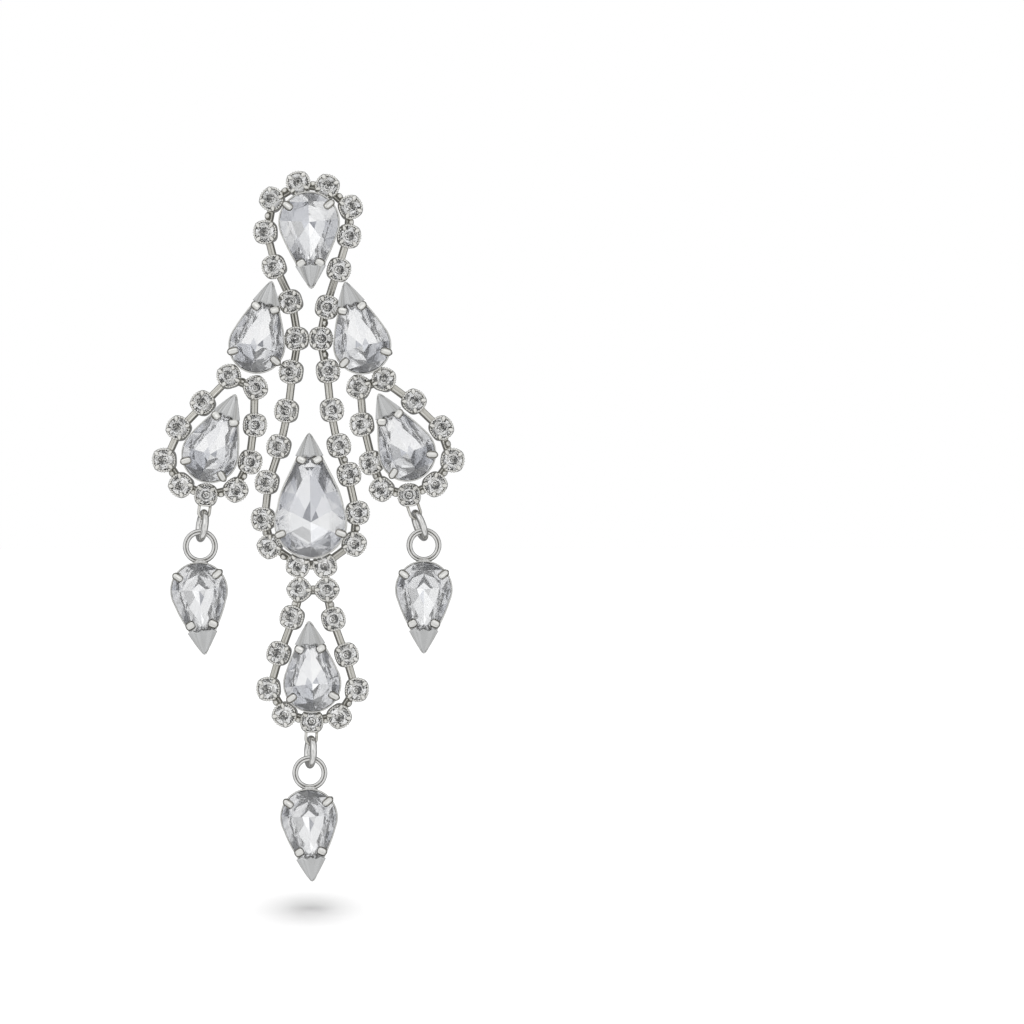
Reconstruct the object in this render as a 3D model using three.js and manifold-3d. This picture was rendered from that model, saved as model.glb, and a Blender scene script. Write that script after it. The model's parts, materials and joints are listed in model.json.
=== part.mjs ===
// A chandelier earring hanging as it is worn, in millimetres, front towards -Y and +Z up.
// Strings of round stones in claw cups frame seven pear stones, and three pear drops hang below
// them on oval links. The origin is where the post leaves its pad, at the front of the ear lobe.
import * as THREE from 'three';
import { mergeVertices } from 'three/addons/utils/BufferGeometryUtils.js';
import Module from 'manifold-3d';

const wasm = await Module();
wasm.setup();

// Post and pad behind the top pear. Every depth below is counted forward from the pad's back face.
const POST_DIAMETER = 0.8;
const POST_LENGTH = 10.5;
const POST_TIP = 0.6;
const PAD_DIAMETER = 5;
const PAD_THICK = 0.5;
const SEAT_GAP = 0.3;

// Cup chain: a round stone in a square cup with a claw at each corner, and bars between the cups.
const CUP_WIDTH = 3;
const CUP_CORNER = 0.75;
const CUP_DEPTH = 1.8;
const CUP_TAPER = 0.25;
const CUP_WALL = 0.3;
const CUP_CLAW_RISE = 0.4;
const ROUND_TABLE = 1.25;
const ROUND_CROWN = 0.35;
const ROUND_SINK = 0.12;
const BAR_WIDTH = 0.95;
const BAR_THICK = 0.6;
const BAR_INSET = 0.2;

// Fixed pears: the radius of the round end, how far the point reaches from its middle, and how far
// the flanks swell.
const PEAR_RADIUS = 3.7;
const PEAR_REACH = 8.4;
const PEAR_BULGE = 0.1;

// Pear settings: a tapered basket that stands clear of the cups and flares to a rim in front of
// them, four claws, and a ridged metal point past the stone's own point.
const BASKET_TUCK = 0.75;
const BASKET_WALL = 0.3;
const CUP_CLEARANCE = 0.3;
const BASKET_TAPER = 0.3;
const COLLAR_FLARE = 0.4;
const RIM_HEIGHT = 0.4;
const RIM_WALL = 0.4;
const METAL_POINT = 2.6;
const POINT_RIDGE = 0.45;
const POINT_PEAK = 0.2;
const CLAW_FOOT = 0.84;
const CLAW_HEAD = 0.7;
const CLAW_RISE = 0.55;
const CLAW_ROOT = 0.6;
const CLAW_LEAN = 0.2;
const CLAW_OUTSET = 0.2;
const TIP_CLAW_FROM_POINT = 3.2;
const SHOULDER_CLAW_ANGLE = 120;

// Pear stones, cut with a table, a crown of facets and a deep back.
const STONE_CROWN = 1.1;
const STONE_BACK = 2.4;
const STONE_TABLE = 0.55;
const STONE_CULET = 0.2;
const STONE_CLEARANCE = 0.12;

// Drops: a shallower setting, point down, with a ring soldered on its round end.
const DROP_RADIUS = 3.7;
const DROP_REACH = 8.2;
const DROP_BULGE = 0.15;
const DROP_DEPTH = 3;
const DROP_TUCK = 1;
const DROP_CLAW_FROM_POINT = 3.6;
const DROP_CLAW_ANGLE = 127;
const RING_DIAMETER = 4.5;
const RING_WIRE = 0.75;
const RING_SOLDER = 0.3;
const LUG_WIDTH = 1.2;
const LUG_THICK = 0.8;
const LUG_HEIGHT = 1;

// Oval links, turned a little from edge-on, and the eyelets under the cups that hold them.
const LINK_WIDTH = 3.5;
const LINK_HEIGHT = 4.3;
const LINK_WIRE = 0.85;
const LINK_TURN = 20;
const EYELET_WIRE = 0.36;
const EYELET_ROOT = 0.75;
const LINK_CLEARANCE = 0.12;
const LINK_HEADROOM = 1.45;

// Weights for each cubic millimetre, in milligrams, used to hang each drop plumb under its link.
const METAL_WEIGHT = 7.85;
const GLASS_WEIGHT = 2.5;

// The strings of cups, each a closed loop, as points [x, z] at the middle of each cup.
const CHAIN_ROUTES = {
  upper_chain: [
    [-1.4, -43.9], [-5.0, -41.5], [-5.8, -38.1], [-5.3, -33.4], [-3.8, -28.8], [-2.8, -24.2],
    [-2.2, -19.2], [-1.5, -14.9], [-2.3, -10.1], [-4.4, -5.6], [-5.5, -1.2], [-4.7, 2.9],
    [-1.4, 4.9], [2.2, 4.5], [5.1, 1.9], [4.9, -1.7], [3.6, -6.0], [2.1, -10.8],
    [1.3, -14.9], [2.2, -19.1], [2.7, -24.1], [3.6, -28.7], [4.9, -32.4], [6.0, -37.3],
    [5.6, -41.2], [1.9, -43.9],
  ],
  lower_chain: [
    [-1.2, -47.3], [-2.1, -50.8], [-3.8, -55.4], [-5.1, -59.9], [-3.1, -63.1], [0.3, -64.1],
    [3.7, -63.3], [5.9, -60.0], [4.6, -55.6], [2.9, -51.0], [2.1, -47.3],
  ],
  left_side_chain: [
    [-10.3, -19.9], [-13.6, -23.3], [-16.7, -26.5], [-18.5, -30.5], [-16.4, -33.6],
    [-13.3, -35.0], [-9.6, -34.2], [-7.8, -30.7], [-7.2, -26.0], [-7.1, -21.3],
  ],
  right_side_chain: [
    [9.5, -20.3], [13.3, -23.1], [16.8, -26.5], [18.2, -30.5], [16.0, -33.5],
    [12.8, -35.0], [9.4, -34.1], [8.1, -30.8], [6.9, -25.9], [6.5, -21.2],
  ],
};

// The fixed pears: the middle of the round end, the radius, reach and bulge as shares of the named
// ones, and the turn of the point from straight up towards +X.
const PEARS = [
  { name: 'top', x: 0, z: 0, wide: 1.07, long: 1.01, swell: 1, turn: 178 },
  { name: 'upper_left', x: -6.7, z: -15.8, wide: 0.99, long: 1, swell: 1, turn: 13 },
  { name: 'upper_right', x: 6.8, z: -15.8, wide: 1.01, long: 1, swell: 1, turn: -15 },
  { name: 'left_side', x: -12.7, z: -29.8, wide: 1, long: 0.99, swell: 1, turn: 23 },
  { name: 'right_side', x: 12.6, z: -29.6, wide: 1, long: 1, swell: 1, turn: -26 },
  { name: 'centre', x: 0.2, z: -38.5, wide: 1.27, long: 1.36, swell: 4, turn: -1 },
  { name: 'lower', x: 0.4, z: -59.2, wide: 1.01, long: 0.95, swell: 1, turn: -3 },
];

// The drops: the chain and the cup that each hangs from, the lean of its link and of its pear, in
// degrees, with the lower end towards +X where it is positive.
const DROPS = [
  { name: 'left', chain: 'left_side_chain', cup: 5, linkLean: -8, pearLean: 5 },
  { name: 'centre', chain: 'lower_chain', cup: 5, linkLean: -3, pearLean: 3 },
  { name: 'right', chain: 'right_side_chain', cup: 5, linkLean: 20, pearLean: 0 },
];

// Steps that round shapes are divided into.
const FLANK_STEPS = 2;
const ROUND_END_STEPS = 8;
const CLAW_SIDES = 5;
const CUP_POINTS = 12;
const RING_STEPS = 16;
const LINK_STEPS = 16;
const WIRE_SIDES = 5;
const EYELET_STEPS = 4;
const POST_SIDES = 12;

const CUP_BACK = PAD_THICK + SEAT_GAP;
const CUP_FRONT = CUP_BACK + CUP_DEPTH;
const CUP_MIDDLE = (CUP_BACK + CUP_FRONT) / 2;
const COLLAR_START = CUP_FRONT + CUP_CLAW_RISE + SEAT_GAP;
const COLLAR_END = COLLAR_START + COLLAR_FLARE;
const PEAR_RIM = COLLAR_END + RIM_HEIGHT;

const metal = { color: 0xb9b8b4, roughness: 0.25, metalness: 1 };
const glass = { color: 0xe9edf2, roughness: 0.05, metalness: 0 };
const group = new THREE.Group();

const radians = THREE.MathUtils.degToRad;

// A closed body through outlines of equal point count, each at its own depth, from back to front.
// A point may have a third value, its rise in front of that depth.
function loft(rings) {
  const count = rings[0].outline.length;
  const last = (rings.length - 1) * count;
  const positions = rings.flatMap(({ outline, depth }) => (
    outline.flatMap(([x, z, rise = 0]) => [x, -depth - rise, z])
  ));
  const faces = [];
  for (let back = 0; back < last; back += count) {
    for (let here = 0; here < count; here++) {
      const next = (here + 1) % count;
      faces.push(back + here, back + next, back + count + next);
      faces.push(back + here, back + count + next, back + count + here);
    }
  }
  for (let here = 1; here < count - 1; here++) {
    faces.push(0, here + 1, here);
    faces.push(last, last + here, last + here + 1);
  }
  const geometry = new THREE.BufferGeometry();
  geometry.setAttribute('position', new THREE.Float32BufferAttribute(positions, 3));
  geometry.setIndex(faces);
  return geometry;
}

// A closed loop of round wire along an ellipse in the XZ plane.
function wireLoop(width, height, wire, steps) {
  const across = (width - wire) / 2;
  const up = (height - wire) / 2;
  const positions = [];
  const faces = [];
  for (let step = 0; step < steps; step++) {
    const angle = (2 * Math.PI * step) / steps;
    const outward = new THREE.Vector2(Math.cos(angle) / across, Math.sin(angle) / up).normalize();
    for (let side = 0; side < WIRE_SIDES; side++) {
      const around = (2 * Math.PI * side) / WIRE_SIDES;
      const out = (wire / 2) * Math.cos(around);
      positions.push(across * Math.cos(angle) + out * outward.x);
      positions.push((wire / 2) * Math.sin(around));
      positions.push(up * Math.sin(angle) + out * outward.y);
      const here = step * WIRE_SIDES;
      const ahead = ((step + 1) % steps) * WIRE_SIDES;
      const next = (side + 1) % WIRE_SIDES;
      faces.push(here + side, here + next, ahead + next);
      faces.push(here + side, ahead + next, ahead + side);
    }
  }
  const geometry = new THREE.BufferGeometry();
  geometry.setAttribute('position', new THREE.Float32BufferAttribute(positions, 3));
  geometry.setIndex(faces);
  return geometry;
}

// Only positions, with shared corners merged.
function bare(geometry) {
  const copy = geometry.clone();
  copy.deleteAttribute('normal');
  copy.deleteAttribute('uv');
  return mergeVertices(copy);
}

function toSolid(geometry) {
  const mesh = bare(geometry);
  return new wasm.Manifold(new wasm.Mesh({
    numProp: 3,
    vertProperties: new Float32Array(mesh.attributes.position.array),
    triVerts: new Uint32Array(mesh.index.array),
  }));
}

function toGeometry(solid) {
  const mesh = solid.getMesh();
  const geometry = new THREE.BufferGeometry();
  geometry.setAttribute('position', new THREE.Float32BufferAttribute(mesh.vertProperties, 3));
  geometry.setIndex(Array.from(mesh.triVerts));
  return geometry;
}

function join(geometries) {
  return toGeometry(geometries.map(toSolid).reduce((whole, piece) => whole.add(piece)));
}

function cut(geometry, tool) {
  return toGeometry(toSolid(geometry).subtract(toSolid(tool)));
}

function addPiece(name, geometry, finish) {
  const mesh = new THREE.Mesh(geometry, new THREE.MeshStandardMaterial(finish));
  mesh.name = name;
  group.add(mesh);
  return mesh;
}

// A regular outline with its first point towards +X of its middle.
function roundOutline(radius, sides, x = 0, z = 0) {
  return Array.from({ length: sides }, (_, side) => {
    const angle = (2 * Math.PI * side) / sides;
    return [x + radius * Math.cos(angle), z + radius * Math.sin(angle)];
  });
}

// A square with its corners cut off: for each side its middle, then the two ends of the next
// corner, which rise to a claw.
function cupOutline(width, clawRise) {
  const half = width / 2;
  const flat = half - CUP_CORNER;
  return [0, 1, 2, 3].flatMap((side) => {
    const [across, up] = [[1, 0], [0, 1], [-1, 0], [0, -1]][side];
    return [[half, 0, 0], [half, flat, clawRise], [flat, half, clawRise]].map(([out, along, rise]) => (
      [across * out - up * along, up * out + across * along, rise]
    ));
  });
}

// A pear with its point up: two slightly swelled flanks that meet a round end.
function pearOutline(radius, reach, bulge) {
  const tangent = Math.acos(radius / reach);
  const flank = [];
  for (let step = 1; step < FLANK_STEPS; step++) {
    const share = step / FLANK_STEPS;
    const swell = 4 * bulge * share * (1 - share);
    flank.push([
      (share * radius + swell) * Math.sin(tangent),
      reach + share * (radius * Math.cos(tangent) - reach) + swell * Math.cos(tangent),
    ]);
  }
  const roundEnd = [];
  for (let step = 0; step <= ROUND_END_STEPS; step++) {
    const angle = tangent + (2 * (Math.PI - tangent) * step) / ROUND_END_STEPS;
    roundEnd.push([-radius * Math.sin(angle), radius * Math.cos(angle)]);
  }
  const leftFlank = flank.map(([x, z]) => [-x, z]);
  return [[0, reach], ...leftFlank, ...roundEnd, ...flank.reverse()];
}

function shrunk(outline, factor) {
  return outline.map(([x, z]) => [x * factor, z * factor]);
}

// The matrix of a cup on its route: its up runs from the cup before to the cup after.
function cupFrame(route, index) {
  const [nextX, nextZ] = route[(index + 1) % route.length];
  const [beforeX, beforeZ] = route[(index + route.length - 1) % route.length];
  const frame = new THREE.Matrix4().makeRotationY(Math.atan2(nextX - beforeX, nextZ - beforeZ));
  return frame.setPosition(route[index][0], 0, route[index][1]);
}

function pearFrame({ x, z, turn }) {
  return new THREE.Matrix4().makeRotationY(radians(turn)).setPosition(x, 0, z);
}

// The share by which a convex outline about its own origin grows until it reaches a point.
function shareAt(outline, { x, z }) {
  return Math.max(...outline.map(([fromX, fromZ], index) => {
    const [toX, toZ] = outline[(index + 1) % outline.length];
    const [acrossX, acrossZ] = [toZ - fromZ, fromX - toX];
    return (acrossX * x + acrossZ * z) / (acrossX * fromX + acrossZ * fromZ);
  }));
}

// The share of a fixed pear's outline that its basket may fill between the cups.
function basketCore(pear) {
  const outline = pearOutline(pear.radius, pear.reach, pear.bulge);
  const toPear = pearFrame(pear).invert();
  const shares = Object.values(CHAIN_ROUTES).flatMap((route) => route.flatMap((_, index) => {
    const cupToPear = toPear.clone().multiply(cupFrame(route, index));
    return cupOutline(CUP_WIDTH, 0).map(([x, z]) => (
      shareAt(outline, new THREE.Vector3(x, 0, z).applyMatrix4(cupToPear))
    ));
  }));
  return Math.min(1 - BASKET_TUCK / pear.radius, Math.min(...shares) - CUP_CLEARANCE / pear.radius);
}

// One cup with its stone fused in: a tapered wall whose corners rise to claws, the crown of facets
// inside them and the table.
function cupWithStone() {
  const girdle = CUP_WIDTH / 2 - CUP_WALL;
  return loft([
    { outline: cupOutline(CUP_WIDTH - CUP_TAPER, 0), depth: CUP_BACK },
    { outline: cupOutline(CUP_WIDTH, CUP_CLAW_RISE), depth: CUP_FRONT },
    { outline: roundOutline(girdle, CUP_POINTS), depth: CUP_FRONT - ROUND_SINK },
    { outline: roundOutline(ROUND_TABLE / 2, CUP_POINTS), depth: CUP_FRONT + ROUND_CROWN - ROUND_SINK },
  ]);
}

// A bar between two cups, at their backs.
function bar(from, to) {
  const length = Math.hypot(to[0] - from[0], to[1] - from[1]);
  const box = new THREE.BoxGeometry(BAR_WIDTH, BAR_THICK, length);
  box.rotateY(Math.atan2(to[0] - from[0], to[1] - from[1]));
  box.translate((from[0] + to[0]) / 2, -(CUP_BACK + BAR_INSET + BAR_THICK / 2), (from[1] + to[1]) / 2);
  return box;
}

// The frame of a link: its pivot in the eyelet under a cup, which the link turns about along its
// local X, with the link's own plane as its local YZ.
function linkFrame([x, z], lean) {
  const fall = (CUP_WIDTH / 2 + LINK_HEADROOM) / Math.cos(lean);
  const frame = new THREE.Matrix4().makeTranslation(x, -CUP_MIDDLE, z);
  frame.multiply(new THREE.Matrix4().makeRotationZ(radians(LINK_TURN)));
  frame.multiply(new THREE.Matrix4().makeRotationY(-lean));
  frame.multiply(new THREE.Matrix4().makeTranslation(0, 0, -fall));
  return frame;
}

// A staple whose foot wire runs across the link at its pivot, with both legs up inside the cup.
function eyelet(frame) {
  const inner = (LINK_WIRE + 2 * LINK_CLEARANCE) / 2;
  const outer = inner + EYELET_WIRE;
  const middle = outer - EYELET_WIRE / 2;
  const top = LINK_HEADROOM + EYELET_ROOT;
  const staple = new THREE.Shape();
  staple.moveTo(outer, top);
  staple.lineTo(outer, middle);
  staple.absarc(0, middle, outer, 0, -Math.PI, true);
  staple.lineTo(-outer, top);
  staple.lineTo(-inner, top);
  staple.lineTo(-inner, middle);
  staple.absarc(0, middle, inner, -Math.PI, 0, false);
  staple.lineTo(inner, top);
  const strap = new THREE.ExtrudeGeometry(staple, {
    depth: EYELET_WIRE, steps: 1, curveSegments: EYELET_STEPS, bevelEnabled: false,
  });
  strap.translate(0, 0, -EYELET_WIRE / 2);
  strap.rotateX(Math.PI / 2);
  strap.applyMatrix4(frame);
  return strap;
}

// The claws of a pear setting: two beside the point and two on the shoulders of the round end.
function pearClaws({ radius, reach, bulge }, rim, fromPoint, shoulderAngle) {
  const tipZ = reach - fromPoint;
  const [, [flankX, flankZ]] = pearOutline(radius, reach, bulge);
  const tipX = (fromPoint * -flankX) / (reach - flankZ);
  const shoulderX = radius * Math.sin(radians(shoulderAngle));
  const shoulderZ = radius * Math.cos(radians(shoulderAngle));
  const places = [[tipX, tipZ], [-tipX, tipZ], [shoulderX, shoulderZ], [-shoulderX, shoulderZ]];
  return places.map(([x, z]) => {
    const outward = z > 0 ? new THREE.Vector2(Math.sign(x), 0) : new THREE.Vector2(x, z).normalize();
    const foot = outward.clone().multiplyScalar(CLAW_OUTSET);
    const head = outward.clone().multiplyScalar(CLAW_OUTSET - CLAW_LEAN);
    return loft([
      { outline: roundOutline(CLAW_FOOT / 2, CLAW_SIDES, x + foot.x, z + foot.y), depth: rim - CLAW_ROOT },
      { outline: roundOutline(CLAW_HEAD / 2, CLAW_SIDES, x + head.x, z + head.y), depth: rim + CLAW_RISE },
    ]);
  });
}

// The metal point past the stone: three faces that rise to a short ridge.
function metalPoint({ radius, reach }, rim) {
  const length = METAL_POINT - STONE_CLEARANCE;
  const spread = (length * radius) / Math.sqrt(reach * reach - radius * radius);
  const base = [[0, reach], [-spread, reach - length], [spread, reach - length]];
  const peak = reach - length + POINT_RIDGE;
  const ridge = base.map(([x, z]) => [x * POINT_PEAK, peak + (z - peak) * POINT_PEAK]);
  return loft([
    { outline: base, depth: rim - POINT_RIDGE },
    { outline: ridge, depth: rim + POINT_RIDGE },
  ]);
}

// The outline of the stone in a pear setting, grown all round by a gap: a wall's width inside the
// setting's own outline, and cut off square where the metal point starts.
function stoneOutline({ radius, reach, bulge }, gap) {
  const factor = (radius - RIM_WALL + gap) / radius;
  const [[, pointZ], left, ...rest] = shrunk(pearOutline(radius, reach, bulge), factor);
  const end = reach - METAL_POINT + gap;
  const half = (-left[0] * (pointZ - end)) / (pointZ - left[1]);
  return [[half, end], [-half, end], left, ...rest];
}

// The back of a stone as shares of its outline by depth: from the keel out to the edge, and on a
// fixed pear with a knee that stays a wall's width inside the basket where the collar starts.
function stoneBack({ radius, core }, rim) {
  const steps = [{ share: STONE_CULET, depth: rim - STONE_BACK }, { share: 1, depth: rim }];
  if (core) {
    const straight = 1 - ((1 - STONE_CULET) * (rim - COLLAR_START)) / STONE_BACK;
    const inside = (core * radius - BASKET_WALL - STONE_CLEARANCE) / (radius - RIM_WALL);
    steps.splice(1, 0, { share: Math.min(straight, inside), depth: COLLAR_START });
  }
  return steps;
}

// The stone's back comes to a small keel, and its crown rises to the table.
function pearStone(pear, rim) {
  const girdle = stoneOutline(pear, 0);
  const back = stoneBack(pear, rim);
  return loft([
    ...back.map(({ share, depth }) => ({ outline: shrunk(girdle, share), depth })),
    { outline: shrunk(girdle, STONE_TABLE), depth: rim + STONE_CROWN },
  ]);
}

// The basket lofted through its sections, hollowed for the stone, with its claws and its point.
function pearSetting(pear, rim, sections, fromPoint, shoulderAngle) {
  const outline = pearOutline(pear.radius, pear.reach, pear.bulge);
  const basket = loft(sections.map(({ share, depth }) => (
    { outline: shrunk(outline, share), depth }
  )));
  const seat = stoneOutline(pear, STONE_CLEARANCE);
  const hollow = loft([
    ...stoneBack(pear, rim).map(({ share, depth }) => (
      { outline: shrunk(seat, share), depth: depth - STONE_CLEARANCE }
    )),
    { outline: seat, depth: rim + CLAW_RISE },
  ]);
  const open = cut(basket, hollow);
  return join([open, metalPoint(pear, rim), ...pearClaws(pear, rim, fromPoint, shoulderAngle)]);
}

// The weight of a closed body and its first moment about the origin.
function weigh(geometry, weightPerVolume) {
  const { array } = geometry.attributes.position;
  const corner = (index) => new THREE.Vector3().fromArray(array, 3 * index);
  const moment = new THREE.Vector3();
  let weight = 0;
  for (let face = 0; face < geometry.index.count; face += 3) {
    const [a, b, c] = [0, 1, 2].map((turn) => corner(geometry.index.array[face + turn]));
    const part = (weightPerVolume * a.dot(b.clone().cross(c))) / 6;
    weight += part;
    moment.addScaledVector(a.add(b).add(c), part / 4);
  }
  return { weight, moment };
}

// The post and its pad, one turned piece along Y.
const postProfile = [
  [0, -PAD_THICK], [PAD_DIAMETER / 2, -PAD_THICK], [PAD_DIAMETER / 2, 0], [POST_DIAMETER / 2, 0],
  [POST_DIAMETER / 2, POST_LENGTH - POST_TIP], [0, POST_LENGTH],
].map(([radius, along]) => new THREE.Vector2(radius, along));
addPiece('ear_post', bare(new THREE.LatheGeometry(postProfile, POST_SIDES)), metal);

// The chains, each with an eyelet where a drop hangs from it.
const cup = cupWithStone();
const linkFrames = {};
for (const { name, chain, cup: cupIndex, linkLean } of DROPS) {
  linkFrames[name] = linkFrame(CHAIN_ROUTES[chain][cupIndex], radians(linkLean));
}
for (const [name, route] of Object.entries(CHAIN_ROUTES)) {
  const pieces = route.flatMap((point, index) => {
    const placed = cup.clone().applyMatrix4(cupFrame(route, index));
    return [placed, bar(point, route[(index + 1) % route.length])];
  });
  const hung = DROPS.filter(({ chain }) => chain === name);
  const eyelets = hung.map((drop) => eyelet(linkFrames[drop.name]));
  addPiece(name, join([...pieces, ...eyelets]), metal);
}

// The fixed pears: each stone in its setting.
for (const { name, x, z, wide, long, swell, turn } of PEARS) {
  const size = { radius: wide * PEAR_RADIUS, reach: long * PEAR_REACH, bulge: swell * PEAR_BULGE };
  const place = { x, z, turn };
  const pear = { ...size, core: basketCore({ ...size, ...place }) };
  const sections = [
    { share: pear.core - BASKET_TAPER / pear.radius, depth: CUP_BACK },
    { share: pear.core, depth: COLLAR_START },
    { share: 1, depth: COLLAR_END },
    { share: 1, depth: PEAR_RIM },
  ];
  const setting = pearSetting(pear, PEAR_RIM, sections, TIP_CLAW_FROM_POINT, SHOULDER_CLAW_ANGLE);
  addPiece(`${name}_setting`, setting, metal).applyMatrix4(pearFrame(place));
  addPiece(`${name}_stone`, pearStone(pear, PEAR_RIM), glass).applyMatrix4(pearFrame(place));
}

// The drops: each link turns on its eyelet, and each ring hangs in its link.
const innerHeight = LINK_HEIGHT - 2 * LINK_WIRE;
const pivotToLinkTop = EYELET_WIRE / 2 + LINK_CLEARANCE;
const pivotToLinkMiddle = innerHeight / 2 - pivotToLinkTop;
const pivotToHook = innerHeight - pivotToLinkTop + LINK_WIRE / 2;
const hookToRing = RING_DIAMETER / 2 - RING_WIRE - LINK_WIRE / 2 - LINK_CLEARANCE;
const dropPear = { radius: DROP_RADIUS, reach: DROP_REACH, bulge: DROP_BULGE };
const dropSections = [
  { share: 1 - DROP_TUCK / DROP_RADIUS, depth: 0 },
  { share: 1, depth: DROP_DEPTH - RIM_HEIGHT },
  { share: 1, depth: DROP_DEPTH },
];
for (const { name, pearLean } of DROPS) {
  const link = wireLoop(LINK_WIDTH, LINK_HEIGHT, LINK_WIRE, LINK_STEPS);
  link.rotateZ(Math.PI / 2);
  link.translate(0, 0, -pivotToLinkMiddle);
  addPiece(`${name}_link`, link, metal).applyMatrix4(linkFrames[name]);

  const setting = pearSetting(
    dropPear, DROP_DEPTH, dropSections, DROP_CLAW_FROM_POINT, DROP_CLAW_ANGLE,
  );
  const stone = pearStone(dropPear, DROP_DEPTH);
  setting.rotateY(Math.PI);
  stone.rotateY(Math.PI);
  const [metalPart, glassPart] = [weigh(setting, METAL_WEIGHT), weigh(stone, GLASS_WEIGHT)];
  const balance = metalPart.moment.add(glassPart.moment);
  balance.divideScalar(metalPart.weight + glassPart.weight);
  const hook = new THREE.Vector3(0, 0, -pivotToHook).applyMatrix4(linkFrames[name]);
  const ringMiddle = hook.clone().add(new THREE.Vector3(0, 0, -hookToRing));
  const ringToPear = RING_DIAMETER / 2 - RING_SOLDER + DROP_RADIUS;
  for (const geometry of [setting, stone]) {
    geometry.translate(-balance.x, -balance.y, -balance.z);
    geometry.rotateY(-radians(pearLean));
    geometry.translate(ringMiddle.x, ringMiddle.y, ringMiddle.z - ringToPear + balance.z);
  }
  const ring = wireLoop(RING_DIAMETER, RING_DIAMETER, RING_WIRE, RING_STEPS);
  ring.translate(ringMiddle.x, ringMiddle.y, ringMiddle.z);
  const lug = new THREE.BoxGeometry(LUG_WIDTH, LUG_THICK, LUG_HEIGHT);
  const lugTop = ringMiddle.z - RING_DIAMETER / 2 + RING_WIRE / 2;
  lug.translate(ringMiddle.x, ringMiddle.y, lugTop - LUG_HEIGHT / 2);
  addPiece(`${name}_drop_setting`, join([setting, ring, lug]), metal);
  addPiece(`${name}_drop_stone`, stone, glass);
}

export default group;
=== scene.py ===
# %% [markdown]
# # A chandelier earring in cup chain and pear stones
#
# The earring hangs as it is worn, from a post behind its top stone. Its construction is already
# modelled, with every piece at its real place and size, and this script gives it its looks. The
# first cell loads that model as a fixed frame and keeps its box, which the last cell sets beside the
# box of the finished surfaces.

# %% Load the frame
import json
import bpy
import numpy as np
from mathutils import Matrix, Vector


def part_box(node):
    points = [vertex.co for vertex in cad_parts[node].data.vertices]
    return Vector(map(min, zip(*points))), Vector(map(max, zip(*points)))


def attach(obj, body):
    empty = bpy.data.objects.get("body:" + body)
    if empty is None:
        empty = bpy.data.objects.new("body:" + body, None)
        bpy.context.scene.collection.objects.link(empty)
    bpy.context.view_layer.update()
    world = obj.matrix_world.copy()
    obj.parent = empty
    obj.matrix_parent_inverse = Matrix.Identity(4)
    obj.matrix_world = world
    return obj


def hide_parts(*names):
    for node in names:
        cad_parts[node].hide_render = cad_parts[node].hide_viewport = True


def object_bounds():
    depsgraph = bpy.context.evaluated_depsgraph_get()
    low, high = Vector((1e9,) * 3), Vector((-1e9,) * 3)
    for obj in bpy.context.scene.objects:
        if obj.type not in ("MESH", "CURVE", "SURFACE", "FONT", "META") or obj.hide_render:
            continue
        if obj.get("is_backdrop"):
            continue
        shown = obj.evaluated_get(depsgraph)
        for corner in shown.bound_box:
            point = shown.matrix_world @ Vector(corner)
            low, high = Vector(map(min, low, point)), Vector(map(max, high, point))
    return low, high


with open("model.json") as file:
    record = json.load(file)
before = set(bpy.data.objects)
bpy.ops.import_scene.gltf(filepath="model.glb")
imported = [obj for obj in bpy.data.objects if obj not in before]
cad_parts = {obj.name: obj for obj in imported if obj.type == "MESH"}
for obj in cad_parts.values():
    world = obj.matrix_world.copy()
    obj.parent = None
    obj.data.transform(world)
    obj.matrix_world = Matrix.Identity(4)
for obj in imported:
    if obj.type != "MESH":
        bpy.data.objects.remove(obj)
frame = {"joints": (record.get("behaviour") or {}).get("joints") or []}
frame_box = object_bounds()

# %% [markdown]
# ## Sizes
#
# Jewellers work in millimetres, so every size here is in millimetres and is turned into metres once,
# when a mesh is made. Angles are in degrees. Depths are counted forward from the back of the ear
# lobe pad, towards the viewer. The sizes are those of the solid model, so that each surface lies
# where its solid does, and a few more for what the solids leave out.

# %% Sizes in millimetres
MM = 0.001

PAD_THICK = 0.5
PAD_DIAMETER = 5
POST_DIAMETER = 0.8
POST_LENGTH = 10.5
SEAT_GAP = 0.3

CUP_WIDTH = 3
CUP_DEPTH = 1.8
CUP_CLAW_RISE = 0.4
BAR_WIDTH = 0.95
BAR_THICK = 0.6
BAR_INSET = 0.2
SHORT_BAR = 4.35
CUP_TILT = 9
BAR_TILT = 30
ROUND_RADIUS = 1.27

RIM_HEIGHT = 0.4
RIM_WALL = 0.4
EDGE_WALL = 0.2
COLLAR_FLARE = 0.4
BASKET_TUCK = 0.75
BASKET_TAPER = 0.3
PLATE_LENGTH = 3.15
PLATE_FOLD = 0.13
TIP_BLUNT = 0.65
PEAR_RADIUS = 3.7
STONE_CROWN = 1.1
STONE_BACK = 2.4
FOIL_BACK = 1.3

DROP_RADIUS = 3.7
DROP_REACH = 8.2
DROP_BULGE = 0.15
DROP_DEPTH = 3
DROP_TUCK = 1
DROP_FOLD = 0.035
DROP_CLAW_ANGLE = 127
DROP_CLAW_FROM_POINT = 3.6
RING_DIAMETER = 4.5
RING_WIRE = 0.75
LINK_WIDTH = 3.5
LINK_HEIGHT = 4.3
LINK_WIRE = 0.85
LINK_CLEARANCE = 0.12
EYELET_WIRE = 0.36
EYELET_TOP = 2.2

CUP_BACK = PAD_THICK + SEAT_GAP
CUP_FRONT = CUP_BACK + CUP_DEPTH
COLLAR_START = CUP_FRONT + CUP_CLAW_RISE + SEAT_GAP
PEAR_RIM = COLLAR_START + COLLAR_FLARE + RIM_HEIGHT
print("cups reach forward to", CUP_FRONT, "mm and the pear rims to", round(PEAR_RIM, 2), "mm")

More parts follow.
